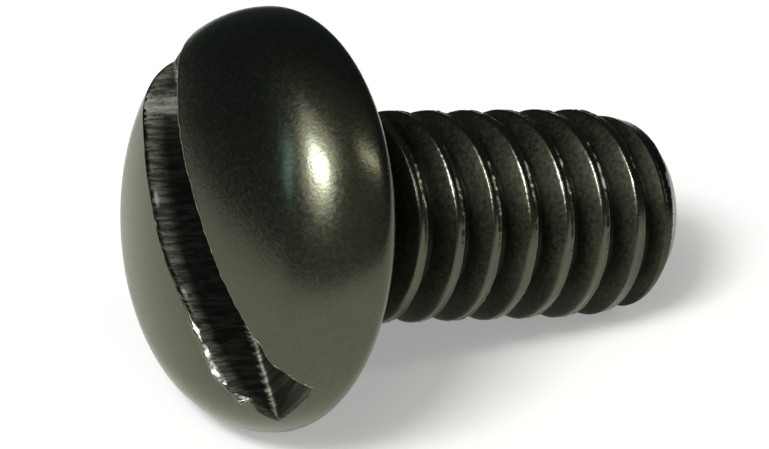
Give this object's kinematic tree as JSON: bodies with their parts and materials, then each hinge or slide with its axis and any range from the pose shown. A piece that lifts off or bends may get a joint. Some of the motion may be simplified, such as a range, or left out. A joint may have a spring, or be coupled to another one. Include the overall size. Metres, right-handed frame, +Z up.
{
  "type": "slotted pan head machine screw",
  "caption": "Black oxide slotted pan head machine screw with a coarse right-hand thread along its whole shank, lying at rest on its head rim and thread.",
  "frame": {"origin": "centre of the bearing face under the head, on the screw's axis", "axes": "+Z up as the screw lies on a flat surface; +X from the head towards the point, in the upright plane of the axis, which slopes 15.6 degrees down from +X"},
  "size_m": [0.0162, 0.0122, 0.0118],
  "materials": {
    "black_oxide_steel": "black oxide, satin, worn on the crests and slot edges"
  },
  "bodies": {
    "root": {"screw": "black_oxide_steel"}
  },
  "joints": []
}
